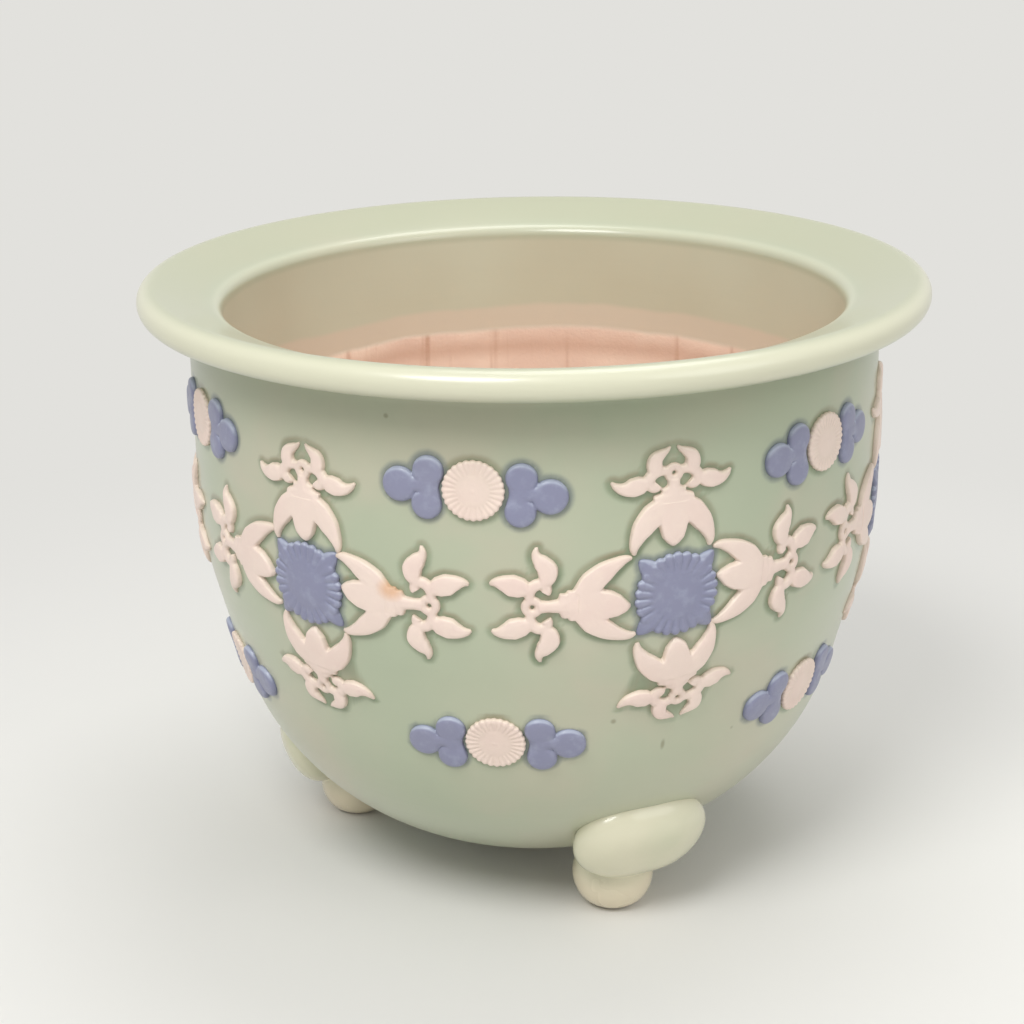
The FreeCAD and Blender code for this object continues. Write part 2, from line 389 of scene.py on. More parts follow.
def wall_at(sizes, height, along):
    """Radius, height and lean of the wall at arc lengths up from a height."""
    belly, heel = flank_ends(sizes)
    lean = sizes.flank_lean
    flank_high = belly[1] - sizes.belly_curve * math.sin(lean)
    flank_low = heel[1] - sizes.heel_curve * math.sin(lean)
    flank_radius = belly[0] + sizes.belly_curve * math.cos(lean)
    flank_run = (flank_high - flank_low) / math.cos(lean)

    def run_to(level):
        """Arc length from the top of the flank to a height."""
        if level >= belly[1]:
            return sizes.belly_curve * lean + level - belly[1]
        if level >= flank_high:
            return sizes.belly_curve * (lean - math.asin((belly[1] - level) / sizes.belly_curve))
        return -(flank_high - level) / math.cos(lean)

    run = run_to(height) + along
    on_belly = np.clip(lean - run / sizes.belly_curve, 0, lean)
    on_heel = np.clip(-(run + flank_run) / sizes.heel_curve, 0, None)
    plumb = np.clip(run - sizes.belly_curve * lean, 0, None)
    flank = np.clip(-run, 0, flank_run)
    radius = np.where(
        run >= 0,
        belly[0] + sizes.belly_curve * np.cos(on_belly),
        flank_radius - flank * math.sin(lean),
    )
    level = np.where(
        run >= 0,
        belly[1] - sizes.belly_curve * np.sin(on_belly) + plumb,
        flank_high - flank * math.cos(lean),
    )
    low = run < -flank_run
    radius = np.where(low, heel[0] + sizes.heel_curve * np.cos(lean + on_heel), radius)
    level = np.where(low, heel[1] - sizes.heel_curve * np.sin(lean + on_heel), level)
    leaning = np.where(run >= 0, on_belly, lean + on_heel)
    return radius, level, leaning


def wrapped(piece, height, turn=0.0, out=0.0, laid=(0, 0, 0)):
    """Bend a flat sprig, drawn in millimetres, on the front of the wall.

    A positive turn is anticlockwise. The sprig's middle lies the distance out along its
    own axis, and keeps its place on the wall. How it was laid by hand, across, up and
    anticlockwise in degrees, moves it in its own drawing.
    """
    vessel = bpy.context.scene.vessel_sizes
    sprigs = bpy.context.scene.sprig_sizes
    flat = tilted(coordinates(piece), laid[2], SPRAY_TIP if out else 0.0)
    flat[:, :2] += laid[:2]
    flat *= MM
    across = -out * math.sin(turn)
    middle = height + out * math.cos(turn)
    x = flat[:, 0]
    y = flat[:, 1] - out
    u = x * math.cos(turn) - y * math.sin(turn)
    v = x * math.sin(turn) + y * math.cos(turn)
    seat_radius = wall_at(vessel, middle, np.zeros(1))[0][0]
    radius, level, lean = wall_at(vessel, middle, v)
    bearing = across / seat_radius + u / radius
    stand = np.where(
        flat[:, 2] > 0,
        sprigs.relief * np.tanh(1.2 * flat[:, 2] / sprigs.relief),
        np.clip(flat[:, 2], -sprigs.sunk, 0),
    )
    reach = radius + stand * np.cos(lean)
    places = np.stack(
        [reach * np.sin(bearing), -reach * np.cos(bearing), level - stand * np.sin(lean)], axis=1
    )
    point_values(piece, "stand", np.clip(stand / sprigs.relief, 0, 1))
    move_vertices(piece, places)
    return piece


def tilted(flat, degrees, pivot):
    """Turn a flat drawing anticlockwise about a point of its own axis."""
    turn = math.radians(degrees)
    rise = flat[:, 1] - pivot
    across = flat[:, 0] * math.cos(turn) - rise * math.sin(turn)
    up = flat[:, 0] * math.sin(turn) + rise * math.cos(turn) + pivot
    return np.stack([across, up, flat[:, 2]], axis=1)


# ---- sprig drawing


def stroke(points, name="stroke"):
    """A round-sectioned stroke through (x, y, half width) points, in millimetres."""
    deselect()
    bpy.ops.curve.primitive_bezier_curve_add()
    piece = bpy.context.active_object
    piece.name = name
    path = piece.data
    path.dimensions = "3D"
    path.bevel_depth = 1.0
    path.bevel_resolution = 3
    path.resolution_u = 6
    path.use_fill_caps = True
    spline = path.splines[0]
    spline.bezier_points.add(len(points) - len(spline.bezier_points))
    for knot, (x, y, half_width) in zip(spline.bezier_points, points):
        knot.handle_left_type = "AUTO"
        knot.handle_right_type = "AUTO"
        knot.co = (x, y, 0)
        knot.radius = half_width
    bpy.ops.object.convert(target="MESH")
    return bpy.context.active_object


def bead(x, y, radius, rise=1.0):
    """A round boss, as high as its radius times the rise."""
    deselect()
    bpy.ops.mesh.primitive_uv_sphere_add(
        segments=32, ring_count=16, radius=radius, location=(x, y, 0), scale=(1, 1, rise)
    )
    return bpy.context.active_object


def eyelet(x, y, radius, thickness):
    deselect()
    bpy.ops.mesh.primitive_torus_add(
        location=(x, y, 0),
        major_radius=radius,
        minor_radius=thickness,
        major_segments=40,
        minor_segments=12,
    )
    return bpy.context.active_object


def mirrored_strokes(points):
    return [stroke(points), stroke([(-x, y, half_width) for x, y, half_width in points])]


def moulded(pieces, name, grain):
    """Melt overlapping strokes into one skin, as clay pressed in a mould."""
    piece = joined(pieces, name)
    apply_modifier(piece, "REMESH", mode="VOXEL", voxel_size=grain)
    apply_modifier(piece, "SMOOTH", factor=0.5, iterations=3)
    apply_modifier(piece, "DECIMATE", ratio=0.6)
    return piece


def petals(count, inner, outer, inner_width, outer_width, lift):
    """Strokes that spread from a middle like a chrysanthemum's petals."""
    strokes = []
    for index in range(count):
        turn = 2 * math.pi * index / count
        reach = outer - outer_width
        points = []
        for share in (0.0, 0.5, 1.0):
            radius = inner + (reach - inner) * share
            width = inner_width + (outer_width - inner_width) * share
            points.append((radius * math.sin(turn), radius * math.cos(turn), width))
        petal = stroke(points)
        tip = bead(points[-1][0], points[-1][1], outer_width)
        for part in (petal, tip):
            part.location.z += lift
            strokes.append(part)
    return strokes


def ribbed(piece, count, depth):
    """Cut faint grooves that run out from the middle of a flat drawing."""
    places = coordinates(piece)
    turn = np.arctan2(places[:, 0], places[:, 1])
    away = np.hypot(places[:, 0], places[:, 1])
    cut = depth * np.cos(count * turn) * np.clip(away / 8, 0, 1)
    places[:, 2] += np.where(places[:, 2] > 0.6, cut, 0)
    move_vertices(piece, places)
    return piece


def draw_floret():
    parts = [bead(0, 0, 19.4, 0.14)]
    parts += petals(26, 1.5, 20.6, 0.6, 2.4, 0.45)
    run = [(4.0, 2.0), (11.0, 4.4), (17.0, 5.4), (21.5, 4.0), (24.3, 2.4), (26.0, 0.8)]
    for quarter in range(4):
        turn = math.radians(45 + 90 * quarter)
        sepal = stroke([(out * math.sin(turn), out * math.cos(turn), width) for out, width in run])
        sepal.scale.z = 0.52
        parts.append(sepal)
    parts.append(bead(0, 0, 3.0, 0.98))
    return ribbed(moulded(parts, "floret", 0.45), 26, 0.14)


def draw_roundel():
    parts = [bead(0, 0, 13.6, 0.17)]
    parts += petals(28, 3.0, 14.3, 0.8, 1.9, 0.65)
    parts += [bead(0, 0, 2.2, 1.25), eyelet(0, 0, 4.2, 0.6)]
    parts[-1].location.z += 1.5
    return ribbed(moulded(parts, "roundel", 0.42), 28, 0.12)


def draw_trefoil(side):
    parts = [bead(side * 34.0, -0.4, 8.3, 0.6)]
    parts.append(bead(side * 21.0, 7.4, 7.3, 0.65))
    parts.append(bead(side * 21.1, -8.1, 7.2, 0.65))
    for run in (
        [(19.0, 8.6, 3.6), (20.8, 0.0, 4.1), (19.2, -9.2, 3.6)],
        [(21.0, 1.2, 4.4), (26.0, 0.8, 3.7), (31.0, 0.0, 4.6)],
        [(17.0, 5.5, 2.6), (17.8, 0.0, 2.2), (17.0, -5.5, 2.6)],
    ):
        parts.append(stroke([(side * x, y, half_width) for x, y, half_width in run]))
    return moulded(parts, "trefoil", 0.42)


def draw_long_spray():
    """A lotus cup that leans a little, with an eyelet, two curls and two pairs of leaves."""
    parts = []
    for run in (
        [(4.6, 45.5, 4.8), (10.2, 40.5, 5.9), (14.9, 34.6, 5.0)]
        + [(18.2, 28.8, 3.2), (19.8, 24.6, 2.0), (19.9, 21.6, 0.9)],
        [(-4.2, 45.5, 4.8), (-9.4, 40.5, 5.8), (-13.6, 34.6, 4.9)]
        + [(-16.6, 28.6, 3.3), (-17.9, 24.0, 2.2), (-17.6, 20.6, 1.0)],
        [(0.4, 47, 7.2), (-0.2, 40, 7.8), (-1.2, 33.4, 7.2)]
        + [(-2.2, 28.6, 5.4), (-2.8, 25.4, 3.2), (-3.0, 22.9, 0.9)],
        [(-7.0, 48.8, 2.9), (0, 49.6, 4.2), (7.2, 49.0, 2.9)],
        [(-5.8, 52.6, 2.2), (0, 53.2, 3.8), (6.0, 53.0, 2.4)],
        [(0, 52, 4.4), (0, 56, 3.4), (0, 60.5, 2.9), (0, 64.5, 3.2)],
    ):
        parts.append(stroke(run))
    parts.append(eyelet(0, 67.6, 3.1, 2.15))
    for run in (
        [(3.0, 68.6, 2.2), (7.2, 68.4, 2.6), (10.6, 65.6, 2.9)]
        + [(10.4, 62.2, 2.5), (8.2, 60.6, 2.3), (6.6, 61.6, 2.6)],
        [(10.4, 62.4, 2.4), (13.6, 60.6, 4.2), (17.4, 60.2, 5.0)]
        + [(21.4, 62.8, 4.0), (24.8, 65.0, 2.3), (28.6, 64.6, 0.8)],
        [(7.4, 68.2, 2.4), (9.4, 72.2, 4.9), (10.8, 76.6, 5.4)]
        + [(12.0, 80.8, 3.7), (12.2, 84.0, 2.2), (11.4, 86.4, 0.9)],
    ):
        parts += mirrored_strokes(run)
    return moulded(parts, "long_spray", 0.5)


def draw_short_spray():
    """A lotus cup with an eyelet, two curls and two pairs of shorter leaves."""
    parts = mirrored_strokes(
        [(4.6, 42.5, 5.0), (9.8, 38.4, 6.0), (14.6, 32.8, 5.2)]
        + [(17.4, 27.6, 3.5), (18.6, 23.6, 2.3), (18.4, 20.2, 1.0)]
    )
    for run in (
        [(0, 44, 7.2), (0, 37.5, 8.2), (0, 31, 6.6), (0, 27.2, 5.4), (0, 24.6, 3.2), (0, 22.7, 0.9)],
        [(-9.6, 45.0, 2.4), (0, 45.8, 4.6), (9.6, 45.0, 2.4)],
        [(-5.6, 48.6, 1.8), (0, 49.2, 3.6), (5.6, 48.6, 1.8)],
        [(0, 47, 4.4), (0, 51, 3.2), (0, 54.4, 3.0)],
    ):
        parts.append(stroke(run))
    parts.append(eyelet(0, 57.4, 2.8, 1.95))
    for run in (
        [(3.4, 58.6, 2.2), (8.0, 58.4, 2.6), (11.6, 55.6, 2.9)]
        + [(11.2, 52.4, 2.6), (8.8, 51.2, 2.4), (7.5, 52.7, 2.6)],
        [(12.0, 54.4, 2.4), (15.6, 53.2, 4.4), (19.6, 52.2, 4.6)]
        + [(23.4, 51.9, 3.2), (26.8, 53.2, 2.0), (29.2, 55.4, 0.8)],
        [(7.4, 57.4, 2.8), (9.2, 61.0, 3.9), (8.6, 64.4, 3.6)]
        + [(5.6, 66.8, 2.3), (3.2, 68.2, 1.4), (1.6, 69.8, 0.6)],
    ):
        parts += mirrored_strokes(run)
    return moulded(parts, "short_spray", 0.5)


# ---- materials


class Socket:
    """A shader value that can be written in sums."""

    def __init__(self, tree, output):
        self.tree = tree
        self.output = output

    def math(self, operation, *others):
        node = self.tree.nodes.new("ShaderNodeMath")
        node.operation = operation
        for index, value in enumerate((self, *others)):
            if isinstance(value, Socket):
                self.tree.links.new(value.output, node.inputs[index])
            else:
                node.inputs[index].default_value = value
        return Socket(self.tree, node.outputs[0])

    def __add__(self, other):
        return self.math("ADD", other)

    def __radd__(self, other):
        return self + other

    def __mul__(self, other):
        return self.math("MULTIPLY", other)

    def __rmul__(self, other):
        return self * other

    def __sub__(self, other):
        return self.math("SUBTRACT", other)

    def __rsub__(self, other):
        return self * -1.0 + other

    def __truediv__(self, other):
        return self.math("DIVIDE", other)

    def step(self, low, high):
        """0 below low, 1 above high and smooth between them; the two may be swapped."""
        node = self.tree.nodes.new("ShaderNodeMapRange")
        node.interpolation_type = "SMOOTHSTEP"
        self.tree.links.new(self.output, node.inputs["Value"])
        for name, value in (("From Min", low), ("From Max", high), ("To Min", 0.0), ("To Max", 1.0)):
            node.inputs[name].default_value = value
        return Socket(self.tree, node.outputs["Result"])


class Glaze:
    """A material under construction."""

    def __init__(self, name):
        self.material = bpy.data.materials.new(name)
        self.material.use_nodes = True
        self.tree = self.material.node_tree
        self.surface = self.tree.nodes["Principled BSDF"]
        place = self.node("ShaderNodeTexCoord")
        self.place = Socket(self.tree, place.outputs["Object"])
        self.x, self.y, self.z = self.parts(self.place)

    def node(self, kind, settings=None, inputs=None):
        node = self.tree.nodes.new(kind)
        for name, value in (settings or {}).items():
            setattr(node, name, value)
        for name, value in (inputs or {}).items():
            if isinstance(value, Socket):
                self.tree.links.new(value.output, node.inputs[name])
            else:
                node.inputs[name].default_value = value
        return node

    def parts(self, vector):
        """The three numbers of a vector."""
        node = self.node("ShaderNodeSeparateXYZ", inputs={"Vector": vector})
        return [Socket(self.tree, output) for output in node.outputs]

    def noise(self, scale, detail=3.0, roughness=0.55, distortion=0.0, stretch=(1, 1, 1)):
        mapping = self.node("ShaderNodeMapping", inputs={"Vector": self.place, "Scale": stretch})
        node = self.node(
            "ShaderNodeTexNoise",
            inputs={
                "Vector": Socket(self.tree, mapping.outputs["Vector"]),
                "Scale": scale,
                "Detail": detail,
                "Roughness": roughness,
                "Distortion": distortion,
            },
        )
        return Socket(self.tree, node.outputs["Fac"])

    def attribute(self, name):
        return Socket(self.tree, self.node("ShaderNodeAttribute", {"attribute_name": name}).outputs["Fac"])

    def mix(self, share, first, second):
        """The second colour over the first, by a share."""
        node = self.node("ShaderNodeMix", {"data_type": "RGBA"})
        sockets = [socket for socket in node.inputs if socket.enabled]
        for socket, value in zip(sockets, (share, first, second)):
            if isinstance(value, Socket):
                self.tree.links.new(value.output, socket)
            elif isinstance(value, (int, float)):
                socket.default_value = value
            else:
                socket.default_value = (*value[:3], 1.0)
        return Socket(self.tree, next(socket for socket in node.outputs if socket.enabled))

    def set(self, **values):
        for name, value in values.items():
            socket = self.surface.inputs[name.replace("_", " ").title().replace("Ior", "IOR")]
            if isinstance(value, Socket):
                self.tree.links.new(value.output, socket)
            else:
                socket.default_value = value

    def bump(self, height, distance, strength=1.0):
        inputs = {"Height": height, "Distance": distance, "Strength": strength}
        node = self.node("ShaderNodeBump", inputs=inputs)
        self.tree.links.new(node.outputs["Normal"], self.surface.inputs["Normal"])

    def around(self):
        """Distance from the pot's axis."""
        return (self.x * self.x + self.y * self.y).math("SQRT")


def celadon_glaze():
    """Celadon outside and on the rim, a thin band inside the mouth and bare clay below it."""
    tones = bpy.context.scene.jardiniere_colours
    sizes = bpy.context.scene.vessel_sizes
    glaze = Glaze("vessel_glaze")
    inside = glaze.attribute("inside")
    broad = glaze.noise(6.5, 2.0, 0.45)
    patches = glaze.noise(15.0, 3.0, 0.5, 0.3)
    wall = glaze.mix(broad.step(0.3, 0.72), tones.celadon_green, tones.celadon)
    wall = glaze.mix(patches.step(0.42, 0.8) * 0.7, wall, tones.celadon_warm)
    throat = sizes.rim_height - sizes.roll_radius
    # Darker band under the rim: thicker glaze plus a painted shadow cast by the rim
    under_rim = glaze.z.step(throat - 0.045, throat - 0.004)
    under_rim *= glaze.z.step(throat + 0.005, throat)
    wall = glaze.mix(under_rim * 0.45, wall, tones.celadon_pooled_and_shaded)
    wall = pooled_and_shaded_round_sprigs(glaze, wall, tones)
    wall = specks(glaze, wall, tones)
    flange = glaze.z.step(throat + 0.002, throat + 0.008)
    wall = glaze.mix(flange * 0.85, wall, tones.rim_pale)
    # Cream on the roll and the mouth's edge: thin glaze plus a painted highlight
    roll = glaze.around().step(sizes.rim_radius - 0.008, sizes.rim_radius - 0.001)
    roll *= glaze.z.step(throat - 0.002, throat + 0.006)
    lip = glaze.around().step(sizes.mouth_radius + 0.007, sizes.mouth_radius + 0.001)
    lip *= glaze.z.step(sizes.rim_height - 0.014, sizes.rim_height - 0.006)
    wall = glaze.mix(roll * 0.75 + lip * 0.4, wall, tones.cream_edge_and_highlight)
    streaks = glaze.noise(75.0, 3.0, 0.6, 0.0, (1, 1, 0.07))
    blotches = glaze.noise(17.0, 3.0, 0.55)
    level = glaze.z + (broad - 0.5) * 0.016 + (blotches - 0.5) * 0.007
    lining = glaze.mix(broad.step(0.3, 0.7), tones.glaze_inside, tones.glaze_inside_green)
    clay = glaze.mix(blotches.step(0.35, 0.7), tones.clay, tones.clay_light)
    clay = glaze.mix(streaks.step(0.54, 0.72) * 0.75, clay, tones.clay_dark)
    clay = glaze.mix(level.step(0.236, 0.224) * level.step(0.216, 0.226) * 0.5, clay, tones.clay_dark)
    bare = level.step(0.2375, 0.2335)
    lining = glaze.mix(level.step(0.2515, 0.2475), lining, tones.clay_pale)
    lining = glaze.mix(bare, lining, clay)
    shown_inside = inside * glaze.z.step(sizes.rim_height - 0.0075, sizes.rim_height - 0.012)
    bare *= shown_inside
    shown = glaze.mix(shown_inside, wall, lining)
    glaze.set(base_color=shown, roughness=0.26 + bare * 0.6 + patches * 0.08, coat_weight=0.3 - bare * 0.3)
    glaze.set(coat_roughness=0.1, ior=1.5)
    pores = glaze.noise(520.0, 2.0)
    throwing = glaze.noise(46.0, 2.0, 0.5, 0.0, (0.25, 0.25, 2.5))
    glaze.bump(pores * (0.05 + bare * 0.6) + throwing * 0.4 + streaks * bare * 0.8, 0.0009, 0.5)
    return glaze.material


def pooled_and_shaded_round_sprigs(glaze, wall, tones):
    """Glaze darkened against the sprigs: green below them, where it pools and painted shade is added, and
    brown above, where it pools.
    """
    waver = glaze.noise(40.0, 2.0) * 1.6 - 0.8
    off_white = glaze.attribute("off_white") + waver
    off_blue = glaze.attribute("off_blue") + waver
    over_white = glaze.attribute("over_white")
    # Below the white sprigs the wall turns greener and darker: pooled glaze plus painted shade
    wide = off_white.step(6.5, 0.5) * over_white.step(0.6, -0.8)
    wall = glaze.mix(wide * 0.35, wall, tones.celadon_green)
    close = off_white.step(4.0, 0.8)
    pooled = glaze.mix(over_white.step(-0.2, 0.7), tones.pool_green_and_shade, tones.pool_brown)
    wall = glaze.mix(close * (0.5 + glaze.noise(26.0, 2.0).step(0.35, 0.7) * 0.4), wall, pooled)
    return glaze.mix(off_blue.step(3.6, 0.4) * 0.75, wall, tones.pool_blue)


def specks(glaze, wall, tones):
    """Iron specks and small stains in the glaze."""
    cells = glaze.node("ShaderNodeTexVoronoi", {"feature": "F1"}, {"Vector": glaze.place, "Scale": 26.0})
    away = Socket(glaze.tree, cells.outputs["Distance"])
    chosen = glaze.parts(Socket(glaze.tree, cells.outputs["Color"]))[0].step(0.82, 0.86)
    wall = glaze.mix(away.step(0.045, 0.015) * chosen * 0.6, wall, tones.speck)
    for bearing, height, width, tall in SPECKS:
        x, y = math.sin(math.radians(bearing)), -math.cos(math.radians(bearing))
        across = (glaze.x * -y + glaze.y * x) / width
        up = (glaze.z - height) / tall
        facing = (glaze.x * x + glaze.y * y).step(0.05, 0.06)
        near = (across * across + up * up).math("SQRT").step(1.0, 0.2) * facing
        wall = glaze.mix(near * 0.55, wall, tones.mark)
    return wall


def slip(name, shades, tints, gloss):
    """Sprig clay under thin glaze: cloudy, with a painted highlight where it faces up and painted shade in
    the hollows and seams.

    The tints are the shares of the painted shade in the hollows, the painted highlight on the upper edges
    and the painted shade in the seams.
    """
    # The third shade is the painted shade of the hollows and seams; the fourth gives pale flecks and the
    # painted highlight on up-facing edges
    tone, second, edge, pale_and_highlight = shades
    glaze = Glaze(name)
    stand = glaze.attribute("stand")
    cloud = glaze.noise(28.0, 3.0, 0.5, 0.3)
    body = glaze.mix(cloud.step(0.35, 0.75) * 0.6, tone, second)
    fine = glaze.noise(160.0, 3.0, 0.6)
    body = glaze.mix(fine.step(0.45, 0.8) * 0.22, body, pale_and_highlight)
    # Painted shade on the low parts of the relief
    hollow_shade = stand.step(0.86, 0.35)
    body = glaze.mix(hollow_shade * tints[0], body, edge)
    geometry = glaze.node("ShaderNodeNewGeometry")
    # Painted highlight where the sprig's surface faces up
    upward_highlight = glaze.parts(Socket(glaze.tree, geometry.outputs["Normal"]))[2].step(0.12, 0.62)
    body = glaze.mix(upward_highlight * (0.55 + cloud * 0.5) * tints[1], body, pale_and_highlight)
    # Painted shade where a sprig meets the wall
    seam_shade = stand.step(0.32, 0.0)
    body = glaze.mix(seam_shade * tints[2], body, edge)
    glaze.set(roughness=gloss + cloud * 0.14, coat_weight=0.18, coat_roughness=0.2, ior=1.48)
    glaze.bump(glaze.noise(480.0, 2.0) * 0.5 + glaze.noise(90.0, 2.0) * 0.5, 0.0004, 0.5)
    return glaze, body


def blue_slip():
    tones = bpy.context.scene.jardiniere_colours
    shades = (tones.blue, tones.blue_grey, tones.blue_seam_shade, tones.blue_pale_and_highlight)
    glaze, body = slip("blue_sprigs", shades, (0.25, 0.8, 0.75), 0.36)
    glaze.set(base_color=body)
    return glaze.material


def white_slip():
    tones = bpy.context.scene.jardiniere_colours
    shades = (tones.white, tones.white_pink, tones.white_seam_shade, tones.white_pale_and_highlight)
    glaze, body = slip("white_sprigs", shades, (0.35, 0.6, 0.5), 0.44)
    stain = glaze.attribute("stain")
    glaze.set(base_color=glaze.mix(stain * 0.8, body, tones.iron))
    return glaze.material


def cream_glaze():
    tones = bpy.context.scene.jardiniere_colours
    feet = bpy.context.scene.foot_sizes
    glaze = Glaze("foot_glaze")
    cloud = glaze.noise(24.0, 3.0, 0.5, 0.3)
    body = glaze.mix(cloud.step(0.35, 0.75), tones.cream, tones.cream_green)
    # Painted shade along the crease between knee and toe
    body = glaze.mix(glaze.attribute("crease") * 0.85, body, tones.crease)
    # Toes lightened below the ankle: paler glaze plus painted light where they face down into shade
    body = glaze.mix(glaze.z.step(feet.ankle_height, 0.012) * 0.7, body, tones.toe_cream_and_painted_light)
    glaze.set(base_color=body, roughness=0.22 + cloud * 0.08, coat_weight=0.35, coat_roughness=0.08, ior=1.5)
    glaze.bump(glaze.noise(420.0, 2.0) * 0.4 + glaze.noise(60.0, 2.0), 0.0004, 0.4)
    return glaze.material


# ---- operators


class JARDINIERE_OT_vessel(bpy.types.Operator):
    """Turn the bowl and its rolled rim as one shell, once the sprigs are there to mark"""

    bl_idname = "jardiniere.vessel"
    bl_label = "Vessel"

    def execute(self, context):
        sizes = context.scene.vessel_sizes
        belly, heel = flank_ends(sizes)
        lean = math.degrees(sizes.flank_lean)
        roll = (sizes.rim_radius - sizes.roll_radius, sizes.rim_height)
        edge = (sizes.mouth_radius + sizes.mouth_edge_radius, sizes.rim_height - sizes.mouth_edge_drop)
        run = (roll[0] - edge[0], roll[1] - edge[1])
        slope = math.degrees(math.atan2(run[1], run[0]))
        slope += math.degrees(math.asin((sizes.roll_radius - sizes.mouth_edge_radius) / math.hypot(*run)))
        throat = sizes.rim_height - sizes.roll_radius - sizes.throat_curve
        floor = sizes.base_height + sizes.floor_thickness
        inner = sizes.heel_curve - sizes.wall
        floor_turn = -math.degrees(math.asin((heel[1] - floor) / inner))
        flank_high = belly[1] - sizes.belly_curve * math.sin(sizes.flank_lean)
        narrowing = sizes.wall_radius - sizes.wall - sizes.mouth_radius
        neck_low = flank_high - narrowing / math.tan(sizes.flank_lean)
        profile = [(sizes.drain_radius, sizes.base_height)] + wall_profile(sizes)
        profile += arc((sizes.wall_radius + sizes.throat_curve, throat), sizes.throat_curve, 180, 90, 8)
        profile += arc(roll, sizes.roll_radius, -90, 90 + slope, 20)
        first_inside = len(profile) + 5
        profile += arc(edge, sizes.mouth_edge_radius, 90 + slope, 180, 8)
        profile += [(sizes.mouth_radius, neck_low)]
        profile += arc(heel, inner, -lean, floor_turn, 14)
        profile += [(sizes.drain_radius, floor)]
        vessel = lathe("vessel", profile, sizes.turns)
        mark_inside(vessel, profile, first_inside)
        mark_nearness(vessel)
        smooth(vessel, 50)
        dress(vessel, ["pot_body", "pot_rim"], celadon_glaze())
        return {"FINISHED"}


def toe_profile(sizes):
    """Section of the bun toe and its ankle, up into the knee."""
    profile = [(0.0, 0.0)]
    for step in range(1, 17):
        turn = math.radians(-90 + 140 * step / 16)
        share = 0.32 + 0.68 * math.cos(turn) if turn < 0 else math.cos(turn) ** 0.7
        height = sizes.toe_height * (1 + math.sin(turn))
        if height < sizes.ankle_height - 0.002:
            profile.append((sizes.toe_half_width * share, height))
    profile.append((sizes.ankle_half_width, sizes.ankle_height))
    profile.append((sizes.ankle_half_width * 0.96, sizes.knee_height))
    profile.append((0.0, sizes.knee_height))
    return profile


class JARDINIERE_OT_feet(bpy.types.Operator):
    """Model one foot, a padded knee on a bun toe, and set three round the base"""

    bl_idname = "jardiniere.feet"
    bl_label = "Feet"

    def execute(self, context):
        sizes = context.scene.foot_sizes
        skew = sizes.knee_skew
        deselect()
        bpy.ops.mesh.primitive_uv_sphere_add(
            segments=64,
            ring_count=32,
            radius=1,
            location=(
                sizes.knee_reach * math.sin(skew),
                -sizes.knee_reach * math.cos(skew),
                sizes.knee_height,
            ),
            rotation=(sizes.knee_tilt, 0, skew),
            scale=(sizes.knee_half_width, sizes.knee_half_depth, sizes.knee_half_height),
        )
        knee = bpy.context.active_object
        context.view_layer.update()
        to_knee = np.array(knee.matrix_world.inverted())
        fuller = coordinates(knee)
        square = (np.abs(fuller) ** KNEE_FULLNESS).sum(axis=1, keepdims=True) ** (1 / KNEE_FULLNESS)
        move_vertices(knee, fuller * np.linalg.norm(fuller, axis=1, keepdims=True) / square)
        toe = lathe("toe", toe_profile(sizes), 64)
        toe.location.y = -sizes.toe_reach
        foot = joined([knee, toe], "foot")
        apply_modifier(foot, "REMESH", mode="VOXEL", voxel_size=0.0009)
        apply_modifier(foot, "SMOOTH", factor=0.5, iterations=14)
        places = coordinates(foot)
        places[:, 2] = np.maximum(places[:, 2], 0.0)
        move_vertices(foot, places)
        from_axis = np.hypot(places[:, 0], places[:, 1] + sizes.toe_reach)
        in_knee = np.abs(places @ to_knee[:3, :3].T + to_knee[:3, 3])
        off_knee = (in_knee**KNEE_FULLNESS).sum(axis=1) ** (1 / KNEE_FULLNESS)
        off_knee = np.abs(off_knee - 1) / 0.22
        off_toe = np.abs(from_axis - sizes.ankle_half_width) / 0.006
        # Marks the crease between knee and toe for its painted shade
        crease = np.clip(1.2 - off_knee, 0, 1) * np.clip(1.4 - off_toe, 0, 1)
        point_values(foot, "crease", crease * (places[:, 2] < sizes.knee_height - 0.004))
        smooth(foot)
        material = cream_glaze()
        for index in range(sizes.count):
            node = "foot_%d" % (index + 1)
            copy = twin(foot)
            copy.name = node + "_glazed"
            bearing = sizes.bearing + 2 * math.pi * index / sizes.count
            copy.data.transform(Matrix.Rotation(bearing, 4, "Z"))
            dress(copy, [node], material)
        bpy.data.objects.remove(foot)
        return {"FINISHED"}


def set_round(drawing, stem, first, material, height, turn=0.0, out=0.0):
    """Wrap a drawn sprig in each bay, in place of the CAD nodes of its name."""
    sizes = bpy.context.scene.sprig_sizes
    for index in range(sizes.bays):
        node = stem % (index + 1)
        sprig = wrapped(twin(drawing), height, turn, out, laid_by_hand(node))
        sprig.name = node + "_sprig"
        if node == STAINED:
            flat = coordinates(drawing)
            away = np.hypot((flat[:, 0] + 6.5) / 4.2, (flat[:, 1] - 50) / 5.2)
            point_values(sprig, "stain", np.clip(1.5 - away, 0, 1))
        sprig.data.transform(Matrix.Rotation(first + 2 * math.pi * index / sizes.bays, 4, "Z"))
        smooth(sprig)
        dress(sprig, [node], material)


def laid_by_hand(node):
    """How far a sprig lies off its mark: across and up in millimetres, and its tilt in degrees."""
    if node in LAID:
        return LAID[node]
    share = random.Random(node)
    return (share.uniform(-1.8, 1.8), share.uniform(-1.8, 1.8), share.uniform(-2.5, 2.5))


def mark_inside(vessel, profile, first_inside):
    """Mark the vertices that lie past a point of the section, on the pot's inside."""
    places = coordinates(vessel)
    section = np.array(profile)
    radius = np.hypot(places[:, 0], places[:, 1])
    away = np.hypot(radius[:, None] - section[None, :, 0], places[:, 2][:, None] - section[None, :, 1])
    point_values(vessel, "inside", (away.argmin(axis=1) >= first_inside).astype(float))


